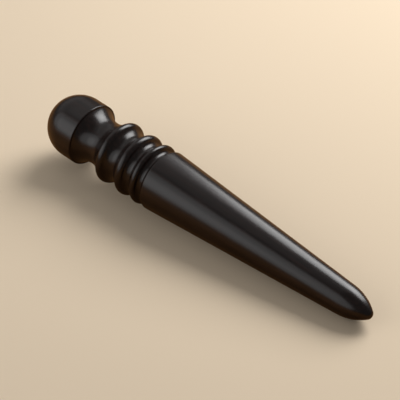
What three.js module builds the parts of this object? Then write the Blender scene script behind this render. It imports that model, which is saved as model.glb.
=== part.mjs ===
// Leather edge burnisher, turned in one piece from dark hardwood and lying on a table.
// Millimetres, +Z up. It lies along X, with the domed head at -X and the point at +X.
// The origin is on the table, under the middle of the tool.
// Stations are measured along the tool's own axis, from the top of the dome.

import * as THREE from 'three';

// The whole tool
const toolLength = 150;
const headDiameter = 24;

// Head: a half ball, then a straight band that ends in a crisp edge and a narrow flat face
const bandLength = 6;
const headEdgeRadius = 0.4;
const headFaceDepth = 0.2;

// Neck: the wide groove between the head's flat face and the first bead
const neckDiameter = 17.3;
const neckHeadSideRadius = 8.9;
const neckBeadSideRadius = 8.7;

// Three beads, the last one the narrowest and a little lower
const firstBeadDiameter = 24;
const firstBeadRadius = 1.7;
const secondBeadDiameter = 24;
const secondBeadRadius = 1.8;
const thirdBeadDiameter = 23.6;
const thirdBeadRadius = 1.2;

// Three coves, the round grooves that leather edges of falling thickness are rubbed in
const wideCoveDiameter = 18.8;
const wideCoveRadius = 3.9;
const middleCoveDiameter = 19.1;
const middleCoveRadius = 2.3;
const narrowCoveDiameter = 19.3;
const narrowCoveRadius = 1.65;

// Cone: a rounded shoulder, a long straight taper, a bulged point and a small round nose
const shoulderDiameter = 23.2;
const shoulderRadius = 0.7;
const taperAngle = THREE.MathUtils.degToRad(3.9);
const pointBulgeRadius = 20;
const noseRadius = 2.3;

// Facets: an even count of sides, and the most that a chord strays from its arc
const sides = 28;
const chordError = 0.03;

const woodColour = 0x1c1512;
const woodRoughness = 0.28;

// A ridge stands between two grooves. Its section is a round of the given radius.
function ridge(diameter, radius) {
  return { crest: diameter / 2, radius };
}

// A groove's section is a round on each side of its floor.
function groove(diameter, headSideRadius, tipSideRadius) {
  return { floor: diameter / 2, headSideRadius, tipSideRadius };
}

// The neck starts at the foot of the head's flat face, a ridge without a round.
const headFootDiameter = headDiameter - 2 * (headEdgeRadius + headFaceDepth);
const ridges = [
  ridge(headFootDiameter, 0),
  ridge(firstBeadDiameter, firstBeadRadius),
  ridge(secondBeadDiameter, secondBeadRadius),
  ridge(thirdBeadDiameter, thirdBeadRadius),
  ridge(shoulderDiameter, shoulderRadius),
];
const grooves = [
  groove(neckDiameter, neckHeadSideRadius, neckBeadSideRadius),
  groove(wideCoveDiameter, wideCoveRadius, wideCoveRadius),
  groove(middleCoveDiameter, middleCoveRadius, middleCoveRadius),
  groove(narrowCoveDiameter, narrowCoveRadius, narrowCoveRadius),
];

// The turn of the surface between a ridge's crest and a groove's floor, where the two
// rounds run into each other. Past a quarter turn the flank goes straight down.
function flankAngle(crest, ridgeRadius, floor, grooveRadius) {
  const depth = crest - floor;
  return Math.acos(Math.max(1 - depth / (ridgeRadius + grooveRadius), 0));
}

// The outline in the lathe's plane: x is out from the axis and y is the station.
// Angles start outwards and turn towards the point.
function drawOutline() {
  const outline = new THREE.Path();
  const domeRadius = headDiameter / 2;
  outline.absarc(0, domeRadius, domeRadius, -Math.PI / 2, 0, false);

  let station = domeRadius + bandLength;
  outline.absarc(domeRadius - headEdgeRadius, station, headEdgeRadius, 0, Math.PI / 2, false);
  station += headEdgeRadius;

  let angleBefore = 0;
  grooves.forEach((here, index) => {
    const before = ridges[index];
    const after = ridges[index + 1];
    const down = flankAngle(before.crest, before.radius, here.floor, here.headSideRadius);
    const up = flankAngle(after.crest, after.radius, here.floor, here.tipSideRadius);
    if (before.radius > 0) {
      outline.absarc(before.crest - before.radius, station, before.radius, -angleBefore, down, false);
    }
    station += (before.radius + here.headSideRadius) * Math.sin(down);
    outline.absarc(here.floor + here.headSideRadius, station, here.headSideRadius,
      Math.PI + down, Math.PI, true);
    outline.absarc(here.floor + here.tipSideRadius, station, here.tipSideRadius,
      Math.PI, Math.PI - up, true);
    station += (after.radius + here.tipSideRadius) * Math.sin(up);
    angleBefore = up;
  });

  const shoulder = ridges[ridges.length - 1];
  const shoulderCentre = new THREE.Vector2(shoulder.crest - shoulder.radius, station);
  outline.absarc(shoulderCentre.x, shoulderCentre.y, shoulder.radius, -angleBefore, taperAngle, false);

  // The bulge's centre lies its radius inside the cone, where the bulge also meets the nose.
  const outwards = new THREE.Vector2(Math.cos(taperAngle), Math.sin(taperAngle));
  const alongCone = new THREE.Vector2(-Math.sin(taperAngle), Math.cos(taperAngle));
  const noseCentre = new THREE.Vector2(0, toolLength - noseRadius);
  const insideCone = outwards.clone().multiplyScalar(shoulder.radius - pointBulgeRadius).add(shoulderCentre);
  const fromNose = insideCone.clone().sub(noseCentre);
  const aside = outwards.dot(fromNose);
  const centreGap = pointBulgeRadius - noseRadius;
  const along = -alongCone.dot(fromNose) - Math.sqrt(centreGap ** 2 - aside ** 2);
  const bulgeCentre = alongCone.clone().multiplyScalar(along).add(insideCone);
  const noseAngle = noseCentre.clone().sub(bulgeCentre).angle();
  outline.absarc(bulgeCentre.x, bulgeCentre.y, pointBulgeRadius, taperAngle, noseAngle, false);
  outline.absarc(noseCentre.x, noseCentre.y, noseRadius, noseAngle, Math.PI / 2, false);
  return outline;
}

// Chords along each arc, and none along the straight stretches.
function chordCount(curve) {
  if (!curve.isEllipseCurve) return 1;
  const turn = Math.abs(curve.aEndAngle - curve.aStartAngle);
  return Math.ceil(turn / (2 * Math.acos(1 - chordError / curve.xRadius)));
}

// The outline's points, without doubles and with both ends exactly on the axis.
function outlinePoints(outline) {
  const points = outline.curves.flatMap((curve) => curve.getPoints(chordCount(curve)));
  const single = points.filter((point, index) => index === 0
    || point.distanceTo(points[index - 1]) > chordError / 10);
  single[0].x = 0;
  single[single.length - 1].x = 0;
  return single;
}

// The flats of the faceted solid lie on the true round, so the corners stand a little
// outside it, and half a facet's turn puts one flat exactly underneath.
function turnedGeometry() {
  const cornerScale = 1 / Math.cos(Math.PI / sides);
  const points = outlinePoints(drawOutline());
  points.forEach((point) => { point.x *= cornerScale; });
  return new THREE.LatheGeometry(points, sides, Math.PI / sides);
}

const wood = new THREE.MeshStandardMaterial({
  color: woodColour,
  roughness: woodRoughness,
  metalness: 0,
});
const turnedBody = new THREE.Mesh(turnedGeometry(), wood);
turnedBody.name = 'turned_body';
turnedBody.rotation.z = -Math.PI / 2;

// The tool lies on the lowest line of its cone, so its axis tilts by the taper angle
// and the head and beads stay just clear of the table.
const group = new THREE.Group();
group.add(turnedBody);
group.rotation.y = taperAngle;
const lyingBox = new THREE.Box3().setFromObject(group, true);
group.position.set(-(lyingBox.min.x + lyingBox.max.x) / 2, 0, -lyingBox.min.z);

export default group;
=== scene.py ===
import math

import bpy
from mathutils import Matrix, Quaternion, Vector


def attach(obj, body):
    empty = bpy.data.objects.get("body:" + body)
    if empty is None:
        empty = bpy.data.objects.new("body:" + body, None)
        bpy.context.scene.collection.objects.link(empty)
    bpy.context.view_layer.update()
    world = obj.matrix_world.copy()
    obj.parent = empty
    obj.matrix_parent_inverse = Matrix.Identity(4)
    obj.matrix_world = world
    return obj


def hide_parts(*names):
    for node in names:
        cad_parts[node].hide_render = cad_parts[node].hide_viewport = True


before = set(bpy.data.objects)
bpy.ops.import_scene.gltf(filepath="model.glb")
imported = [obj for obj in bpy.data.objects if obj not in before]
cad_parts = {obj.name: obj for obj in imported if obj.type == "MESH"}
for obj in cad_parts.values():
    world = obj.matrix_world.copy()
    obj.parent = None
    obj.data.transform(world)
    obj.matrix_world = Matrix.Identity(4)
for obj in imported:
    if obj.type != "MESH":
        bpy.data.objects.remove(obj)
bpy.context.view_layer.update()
print("frame loaded, nodes:", ", ".join(sorted(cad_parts)))

mm = 0.001


def linear(hexColour):
    # sRGB hex to the linear values that sockets hold
    parts = [int(hexColour[i:i + 2], 16) / 255 for i in (1, 3, 5)]
    curve = [c / 12.92 if c <= 0.04045 else ((c + 0.055) / 1.055) ** 2.4 for c in parts]
    return (*curve, 1.0)


def addNode(tree, kind, settings=None, inputs=None):
    # settings are the node's own options. An input is a value, or an output socket to link
    node = tree.nodes.new(kind)
    for name, value in (settings or {}).items():
        setattr(node, name, value)
    for name, value in (inputs or {}).items():
        socket = node.inputs[name]
        if isinstance(value, bpy.types.NodeSocket):
            tree.links.new(value, socket)
        else:
            socket.default_value = value
    return node


# Camera: stands in front of the point, to its right, and looks down at the tool
photoView = {
    "lookAt": (-13.85, 11.69, 0.0),  # mm, on the table
    "distance": 722.0,  # mm
    "azimuth": 42.76,  # degrees from -Y towards +X
    "elevation": 38.4,
    "lens": 180.0,
    "sensor": 36.0,
    "nearClip": 0.01,  # metres
    "farClip": 20.0,
}


def placeCamera(view):
    cameraData = bpy.data.cameras.new("photoCamera")
    cameraData.lens = view["lens"]
    cameraData.sensor_width = view["sensor"]
    cameraData.clip_start = view["nearClip"]
    cameraData.clip_end = view["farClip"]
    camera = bpy.data.objects.new("photoCamera", cameraData)
    bpy.context.scene.collection.objects.link(camera)
    azimuth = math.radians(view["azimuth"])
    elevation = math.radians(view["elevation"])
    back = Vector((
        math.sin(azimuth) * math.cos(elevation),
        -math.cos(azimuth) * math.cos(elevation),
        math.sin(elevation),
    ))
    camera.location = (Vector(view["lookAt"]) + back * view["distance"]) * mm
    camera.rotation_euler = (math.pi / 2 - elevation, 0.0, azimuth)
    bpy.context.scene.camera = camera


placeCamera(photoView)
print("camera placed")


# The turned body. Sizes in mm, stations along the tool's own axis from the top of the dome
body = {
    "length": 150.0,
    "headRadius": 12.0,
    "bandLength": 6.0,  # straight part of the head, behind the dome
    "headEdge": 0.4,  # round of its edge
    "ridges": [  # crest radius, radius of the rounded section
        (11.4, 0.0),  # foot of the flat step behind the head's rounded edge
        (12.0, 1.7),
        (12.0, 1.8),
        (11.8, 1.2),
        (11.6, 0.7),  # shoulder of the cone
    ],
    "grooves": [  # floor radius, section radius to the head, to the point
        (8.65, 8.9, 8.7),  # neck
        (9.4, 3.9, 3.9),
        (9.55, 2.3, 2.3),
        (9.65, 1.65, 1.65),
    ],
    "taper": 3.9,  # degrees, half the cone's angle
    "pointBulge": 20.0,  # section radius between the cone and the nose
    "noseRadius": 2.3,
    "headPoint": (-74.824, 0.0, 15.254),  # top of the dome, in the frame's axes
    "inset": 0.03,  # the chords of the CAD body cut its curves by as much
    "sides": 160,
    "chordLength": 0.28,  # longest chord of a rounded section
    "chordTurn": 4.0,  # degrees, the most that a chord turns
    "samePoint": 0.01,  # points closer than this are one
    "longestCut": 1.2,  # straight stretches are cut to this
    "weldDistance": 0.001,  # joins the seam and the points at both poles
    "wanderDepth": 0.02,  # how uneven hand turning leaves the radius
    "wanderLength": 9.0,
}


def arcPoints(centreStation, centreRadius, radius, start, end):
    # start and end in degrees, 90 away from the axis and 0 towards the point
    steps = math.ceil(max(
        abs(end - start) / body["chordTurn"],
        math.radians(abs(end - start)) * radius / body["chordLength"],
    ))
    angles = [math.radians(start + (end - start) * i / steps) for i in range(steps + 1)]
    return [
        (centreStation + radius * math.cos(angle), centreRadius + radius * math.sin(angle))
        for angle in angles
    ]


def turnedOutline():
    # station and radius of every point, from the top of the dome to the nose
    dome = body["headRadius"]
    points = arcPoints(dome, 0.0, dome, 180.0, 90.0)
    station = dome + body["bandLength"]
    edge = body["headEdge"]
    points += arcPoints(station, dome - edge, edge, 90.0, 0.0)
    station += edge
    lastClimb = 0.0  # degrees that the section before the ridge climbs
    for groove, ridge, nextRidge in zip(body["grooves"], body["ridges"], body["ridges"][1:]):
        floor, headSide, pointSide = groove
        crest, section = ridge
        nextCrest, nextSection = nextRidge
        down = math.degrees(math.acos(1 - (crest - floor) / (section + headSide)))
        up = math.degrees(math.acos(1 - (nextCrest - floor) / (nextSection + pointSide)))
        if section > 0:
            points += arcPoints(station, crest - section, section, 90 + lastClimb, 90 - down)
        station += (section + headSide) * math.sin(math.radians(down))
        points += arcPoints(station, floor + headSide, headSide, 270 - down, 270)
        points += arcPoints(station, floor + pointSide, pointSide, 270, 270 + up)
        station += (nextSection + pointSide) * math.sin(math.radians(up))
        lastClimb = up
    crest, section = body["ridges"][-1]
    points += arcPoints(station, crest - section, section, 90 + lastClimb, 90 - body["taper"])

    # the bulge of the point touches the cone on one side and the nose on the other
    taper = math.radians(body["taper"])
    outwards = Vector((math.sin(taper), math.cos(taper)))
    alongCone = Vector((math.cos(taper), -math.sin(taper)))
    bulge = body["pointBulge"]
    nose = body["noseRadius"]
    noseCentre = Vector((body["length"] - nose, 0.0))
    insideCone = Vector((station, crest - section)) + outwards * (section - bulge)
    fromNose = insideCone - noseCentre
    reach = math.sqrt((bulge - nose) ** 2 - outwards.dot(fromNose) ** 2)
    bulgeCentre = insideCone - alongCone * (alongCone.dot(fromNose) + reach)
    toNose = noseCentre - bulgeCentre
    noseAngle = math.degrees(math.atan2(toNose.y, toNose.x))
    points += arcPoints(bulgeCentre.x, bulgeCentre.y, bulge, 90 - body["taper"], noseAngle)
    points += arcPoints(noseCentre.x, 0.0, nose, noseAngle, 0.0)

    # long straight stretches are cut up too, and doubled points dropped
    outline = [Vector(points[0])]
    for point in points[1:]:
        last = outline[-1]
        gap = (Vector(point) - last).length
        if gap < body["samePoint"]:
            continue
        cuts = math.ceil(gap / body["longestCut"])
        outline += [last.lerp(Vector(point), (i + 1) / cuts) for i in range(cuts)]
    inset = body["inset"]
    squeeze = 1 - 2 * inset / body["length"]
    return [Vector((inset + p.x * squeeze, max(p.y - inset, 0.0))) for p in outline]


def latheTree():
    # turns the outline's vertices around X on a grid of points by sides
    tree = bpy.data.node_groups.new("turnOnLathe", "GeometryNodeTree")
    tree.is_modifier = True
    face = tree.interface
    face.new_socket("Outline", in_out="INPUT", socket_type="NodeSocketGeometry")
    face.new_socket("Sides", in_out="INPUT", socket_type="NodeSocketInt")
    face.new_socket("Head point", in_out="INPUT", socket_type="NodeSocketVector")
    face.new_socket("Tilt", in_out="INPUT", socket_type="NodeSocketVector")
    face.new_socket("Wander depth", in_out="INPUT", socket_type="NodeSocketFloat")
    face.new_socket("Wander length", in_out="INPUT", socket_type="NodeSocketFloat")
    face.new_socket("Weld distance", in_out="INPUT", socket_type="NodeSocketFloat")
    face.new_socket("Wood", in_out="INPUT", socket_type="NodeSocketMaterial")
    face.new_socket("Body", in_out="OUTPUT", socket_type="NodeSocketGeometry")
    given = addNode(tree, "NodeGroupInput").outputs
    count = addNode(tree, "GeometryNodeAttributeDomainSize", {"component": "MESH"}, {
        "Geometry": given["Outline"],
    })
    columns = addNode(tree, "ShaderNodeMath", {"operation": "ADD"}, {0: given["Sides"], 1: 1.0})
    grid = addNode(tree, "GeometryNodeMeshGrid", None, {
        "Vertices X": count.outputs["Point Count"],
        "Vertices Y": columns.outputs[0],
    })
    index = addNode(tree, "GeometryNodeInputIndex")
    row = addNode(tree, "ShaderNodeMath", {"operation": "DIVIDE"}, {
        0: index.outputs[0],
        1: columns.outputs[0],
    })
    rowNumber = addNode(tree, "ShaderNodeMath", {"operation": "FLOOR"}, {0: row.outputs[0]})
    rowShare = addNode(tree, "ShaderNodeMath", {"operation": "FRACT"}, {0: row.outputs[0]})
    column = addNode(tree, "ShaderNodeMath", {"operation": "MULTIPLY"}, {
        0: rowShare.outputs[0],
        1: columns.outputs[0],
    })
    wholeColumn = addNode(tree, "ShaderNodeMath", {"operation": "ROUND"}, {0: column.outputs[0]})
    turn = addNode(tree, "ShaderNodeMath", {"operation": "DIVIDE"}, {
        0: wholeColumn.outputs[0],
        1: given["Sides"],
    })
    # turned this way round, the faces point outwards
    angle = addNode(tree, "ShaderNodeMath", {"operation": "MULTIPLY"}, {
        0: turn.outputs[0],
        1: -2 * math.pi,
    })
    place = addNode(tree, "GeometryNodeInputPosition")
    outlinePoint = addNode(tree, "GeometryNodeSampleIndex", {"data_type": "FLOAT_VECTOR"}, {
        "Geometry": given["Outline"],
        "Value": place.outputs[0],
        "Index": rowNumber.outputs[0],
    })
    split = addNode(tree, "ShaderNodeSeparateXYZ", None, {0: outlinePoint.outputs[0]})
    # hand turning leaves the radius a little uneven, always cut inwards
    waves = addNode(tree, "ShaderNodeMath", {"operation": "DIVIDE"}, {
        0: split.outputs["X"],
        1: given["Wander length"],
    })
    wander = addNode(tree, "ShaderNodeTexNoise", {"noise_dimensions": "1D"}, {
        "W": waves.outputs[0],
        "Scale": 1.0,
        "Detail": 1.0,
    })
    cut = addNode(tree, "ShaderNodeMath", {"operation": "MULTIPLY"}, {
        0: wander.outputs[0],
        1: given["Wander depth"],
    })
    radius = addNode(tree, "ShaderNodeMath", {"operation": "SUBTRACT"}, {
        0: split.outputs["Y"],
        1: cut.outputs[0],
    })
    solidRadius = addNode(tree, "ShaderNodeMath", {"operation": "MAXIMUM"}, {
        0: radius.outputs[0],
        1: 0.0,
    })
    cosine = addNode(tree, "ShaderNodeMath", {"operation": "COSINE"}, {0: angle.outputs[0]})
    sine = addNode(tree, "ShaderNodeMath", {"operation": "SINE"}, {0: angle.outputs[0]})
    across = addNode(tree, "ShaderNodeMath", {"operation": "MULTIPLY"}, {
        0: solidRadius.outputs[0],
        1: cosine.outputs[0],
    })
    upwards = addNode(tree, "ShaderNodeMath", {"operation": "MULTIPLY"}, {
        0: solidRadius.outputs[0],
        1: sine.outputs[0],
    })
    point = addNode(tree, "ShaderNodeCombineXYZ", None, {
        "X": split.outputs["X"],
        "Y": across.outputs[0],
        "Z": upwards.outputs[0],
    })
    turned = addNode(tree, "GeometryNodeSetPosition", None, {
        "Geometry": grid.outputs["Mesh"],
        "Position": point.outputs[0],
    })
    closed = addNode(tree, "GeometryNodeMergeByDistance", None, {
        "Geometry": turned.outputs[0],
        "Distance": given["Weld distance"],
    })
    laid = addNode(tree, "GeometryNodeTransform", None, {
        "Geometry": closed.outputs[0],
        "Translation": given["Head point"],
        "Rotation": given["Tilt"],
    })
    smooth = addNode(tree, "GeometryNodeSetShadeSmooth", None, {"Geometry": laid.outputs[0]})
    real = addNode(tree, "GeometryNodeRealizeInstances", None, {"Geometry": smooth.outputs[0]})
    dressed = addNode(tree, "GeometryNodeSetMaterial", None, {
        "Geometry": real.outputs[0],
        "Material": given["Wood"],
    })
    addNode(tree, "NodeGroupOutput", None, {"Body": dressed.outputs[0]})
    return tree


# Ebony: a dense black-brown heartwood, sanded fine, oiled and buffed on the lathe. To the
# eye it is nearly black, with warm streaks along the grain and a satin, waxy shine
ebony = {
    "heart": "#170f0c",
    "streak": "#231612",
    "ior": 1.5,
    "roughness": 0.24,
    "roughnessSpread": 0.015,  # either way, along with the streaks
    "streakWidth": 0.9,  # mm across the grain
    "streakLength": 28.0,
    "streakStart": 0.42,  # noise value where a streak starts, and where it is full
    "streakFull": 0.68,
    "noiseLow": 0.3,  # what the streaks' noise mostly stays within
    "noiseHigh": 0.7,
    "poreSpacing": 0.35,  # mm across the grain, coarser than real pores, too fine to show
    "poreLength": 4.5,  # spacing along the grain
    "poreDepth": 0.004,
    "poreRim": 0.32,  # where a pore's wall starts, from its middle, as a share of the spacing
    "poreBottom": 0.12,
}


def ebonyMaterial():
    material = bpy.data.materials.new("buffedEbony")
    material.use_nodes = True
    tree = material.node_tree
    tree.nodes.clear()
    place = addNode(tree, "ShaderNodeTexCoord")
    # coordinates of the blank: X along the grain, which is the tool's axis
    blank = addNode(tree, "ShaderNodeMapping", {"vector_type": "TEXTURE"}, {
        "Vector": place.outputs["Object"],
        "Location": [v * mm for v in body["headPoint"]],
        "Rotation": (0.0, math.radians(body["taper"]), 0.0),
    })
    streakCount = 1 / (ebony["streakWidth"] * mm)  # per metre across the grain
    streakSpace = addNode(tree, "ShaderNodeMapping", None, {
        "Vector": blank.outputs[0],
        "Scale": (1 / (ebony["streakLength"] * mm), streakCount, streakCount),
    })
    streaks = addNode(tree, "ShaderNodeTexNoise", None, {
        "Vector": streakSpace.outputs[0],
        "Scale": 1.0,
        "Detail": 4.0,
        "Roughness": 0.6,
    })
    streakShare = addNode(tree, "ShaderNodeMapRange", {"interpolation_type": "SMOOTHSTEP"}, {
        "Value": streaks.outputs[0],
        "From Min": ebony["streakStart"],
        "From Max": ebony["streakFull"],
    })
    colour = addNode(tree, "ShaderNodeMix", {"data_type": "RGBA"}, {
        0: streakShare.outputs[0],
        6: linear(ebony["heart"]),
        7: linear(ebony["streak"]),
    })
    poreCount = 1 / (ebony["poreSpacing"] * mm)
    poreSpace = addNode(tree, "ShaderNodeMapping", None, {
        "Vector": blank.outputs[0],
        "Scale": (1 / (ebony["poreLength"] * mm), poreCount, poreCount),
    })
    pores = addNode(tree, "ShaderNodeTexVoronoi", None, {
        "Vector": poreSpace.outputs[0],
        "Scale": 1.0,
    })
    poreShare = addNode(tree, "ShaderNodeMapRange", {"interpolation_type": "SMOOTHSTEP"}, {
        "Value": pores.outputs["Distance"],
        "From Min": ebony["poreRim"],
        "From Max": ebony["poreBottom"],
    })
    roughness = addNode(tree, "ShaderNodeMapRange", None, {
        "Value": streaks.outputs[0],
        "From Min": ebony["noiseLow"],
        "From Max": ebony["noiseHigh"],
        "To Min": ebony["roughness"] - ebony["roughnessSpread"],
        "To Max": ebony["roughness"] + ebony["roughnessSpread"],
    })
    relief = addNode(tree, "ShaderNodeBump", {"invert": True}, {
        "Strength": 1.0,
        "Distance": ebony["poreDepth"] * mm,
        "Height": poreShare.outputs[0],
    })
    wood = addNode(tree, "ShaderNodeBsdfPrincipled", None, {
        "Base Color": colour.outputs[2],
        "Roughness": roughness.outputs[0],
        "IOR": ebony["ior"],
        "Normal": relief.outputs[0],
    })
    addNode(tree, "ShaderNodeOutputMaterial", None, {"Surface": wood.outputs[0]})
    return material


def turnBody():
    outline = turnedOutline()
    steps = [(i, i + 1) for i in range(len(outline) - 1)]
    mesh = bpy.data.meshes.new("outline")
    mesh.from_pydata([(p.x * mm, p.y * mm, 0.0) for p in outline], steps, [])
    blank = bpy.data.objects.new("blank", mesh)
    bpy.context.scene.collection.objects.link(blank)
    lathe = blank.modifiers.new("lathe", "NODES")
    tree = latheTree()
    values = {
        "Sides": body["sides"],
        "Head point": [v * mm for v in body["headPoint"]],
        "Tilt": (0.0, math.radians(body["taper"]), 0.0),
        "Wander depth": body["wanderDepth"] * mm,
        "Wander length": body["wanderLength"] * mm,
        "Weld distance": body["weldDistance"] * mm,
        "Wood": ebonyMaterial(),
    }
    lathe.node_group = tree
    for item in tree.interface.items_tree:
        if item.name in values:
            lathe[item.identifier] = values[item.name]
    bpy.context.view_layer.update()
    evaluated = blank.evaluated_get(bpy.context.evaluated_depsgraph_get())
    turned = bpy.data.meshes.new_from_object(evaluated)
    turned.name = "turnedEbony"
    piece = bpy.data.objects.new("turnedEbony", turned)
    bpy.context.scene.collection.objects.link(piece)
    bpy.data.objects.remove(blank)
    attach(piece, "root")
    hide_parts("turned_body")
    return piece


burnisher = turnBody()
print("body turned:", len(burnisher.data.vertices), "vertices")


# Studio: a pale floor, and a world that the camera sees as a backdrop
studio = {
    "floorSeen": "#e9d5ba",
    "floorThrown": "#a57543",
    "floorRoughness": 0.9,
    "floorSpecular": 0.2,
    "floorSize": 6.0,  # metres
    "backdrop": "#e6d2b7",
    "sky": "#ffffff",
    "skyStrength": 0.11,
    "aim": (0.0, 0.0, 0.01),  # metres, what every lamp faces
}

# Soft lamps close to the tool. Sizes and distances are in metres and angles in degrees, the
# azimuth from +Y towards +X. A softbox is brighter in the middle, so two of them have a
# second lamp there
lamps = {
    "keySoftbox": {
        "shape": "RECTANGLE", "azimuth": 0, "elevation": 40, "away": 0.6,
        "width": 0.45, "height": 0.45, "roll": 15, "watts": 3.4,
    },
    "keyMiddle": {
        "shape": "ELLIPSE", "azimuth": 0, "elevation": 42, "away": 0.6,
        "width": 0.25, "height": 0.25, "roll": 0, "watts": 0.4,
    },
    "broadSoftbox": {
        "shape": "ELLIPSE", "azimuth": -155, "elevation": 20, "away": 0.7,
        "width": 1.5, "height": 0.85, "roll": 0, "watts": 2.4,
    },
    "broadMiddle": {
        "shape": "ELLIPSE", "azimuth": -145, "elevation": 20, "away": 0.7,
        "width": 0.5, "height": 0.4, "roll": 0, "watts": 0.3,
    },
    "leftSoftbox": {
        "shape": "RECTANGLE", "azimuth": -70, "elevation": 40, "away": 0.8,
        "width": 0.9, "height": 0.8, "roll": 0, "watts": 0.6,
    },
    "upperSoftbox": {
        "shape": "RECTANGLE", "azimuth": -75, "elevation": 70, "away": 0.8,
        "width": 0.8, "height": 0.4, "roll": 0, "watts": 0.2,
    },
}


def floorMaterial():
    # Smooth pale paper to the eye. What it throws back at the tool is a dimmer, warmer light,
    # which the dark wood shows along its underside
    material = bpy.data.materials.new("palePaper")
    material.use_nodes = True
    tree = material.node_tree
    tree.nodes.clear()
    path = addNode(tree, "ShaderNodeLightPath")
    colour = addNode(tree, "ShaderNodeMix", {"data_type": "RGBA"}, {
        0: path.outputs["Is Camera Ray"],
        6: linear(studio["floorThrown"]),
        7: linear(studio["floorSeen"]),
    })
    paper = addNode(tree, "ShaderNodeBsdfPrincipled", None, {
        "Base Color": colour.outputs[2],
        "Roughness": studio["floorRoughness"],
        "Specular IOR Level": studio["floorSpecular"],
    })
    addNode(tree, "ShaderNodeOutputMaterial", None, {"Surface": paper.outputs[0]})
    return material


def layFloor():
    half = studio["floorSize"] / 2
    corners = [(-half, -half, 0), (half, -half, 0), (half, half, 0), (-half, half, 0)]
    mesh = bpy.data.meshes.new("floor")
    mesh.from_pydata(corners, [], [(0, 1, 2, 3)])
    mesh.materials.append(floorMaterial())
    floor = bpy.data.objects.new("floor", mesh)
    bpy.context.scene.collection.objects.link(floor)


def hangLamps():
    aim = Vector(studio["aim"])
    for name, wanted in lamps.items():
        data = bpy.data.lights.new(name, "AREA")
        data.shape = wanted["shape"]
        data.size = wanted["width"]
        data.size_y = wanted["height"]
        data.energy = wanted["watts"]
        lamp = bpy.data.objects.new(name, data)
        lamp.visible_camera = False
        bpy.context.scene.collection.objects.link(lamp)
        azimuth = math.radians(wanted["azimuth"])
        elevation = math.radians(wanted["elevation"])
        direction = Vector((
            math.sin(azimuth) * math.cos(elevation),
            math.cos(azimuth) * math.cos(elevation),
            math.sin(elevation),
        ))
        lamp.location = aim + direction * wanted["away"]
        facing = (-direction).to_track_quat("-Z", "Y")
        roll = Quaternion((0, 0, 1), math.radians(wanted["roll"]))
        lamp.rotation_euler = (facing @ roll).to_euler()


def lightWorld():
    # the camera sees a backdrop close to the floor's colour, and the tool a dim even light
    world = bpy.data.worlds.new("studioWorld")
    world.use_nodes = True
    tree = world.node_tree
    tree.nodes.clear()
    path = addNode(tree, "ShaderNodeLightPath")
    seen = addNode(tree, "ShaderNodeBackground", None, {
        "Color": linear(studio["backdrop"]),
        "Strength": 1.0,
    })
    sky = addNode(tree, "ShaderNodeBackground", None, {
        "Color": linear(studio["sky"]),
        "Strength": studio["skyStrength"],
    })
    both = addNode(tree, "ShaderNodeMixShader", None, {
        0: path.outputs["Is Camera Ray"],
        1: sky.outputs[0],
        2: seen.outputs[0],
    })
    addNode(tree, "ShaderNodeOutputWorld", None, {"Surface": both.outputs[0]})
    bpy.context.scene.world = world


layFloor()
hangLamps()
lightWorld()
bpy.context.scene.view_settings.view_transform = "Standard"
print("studio lit")
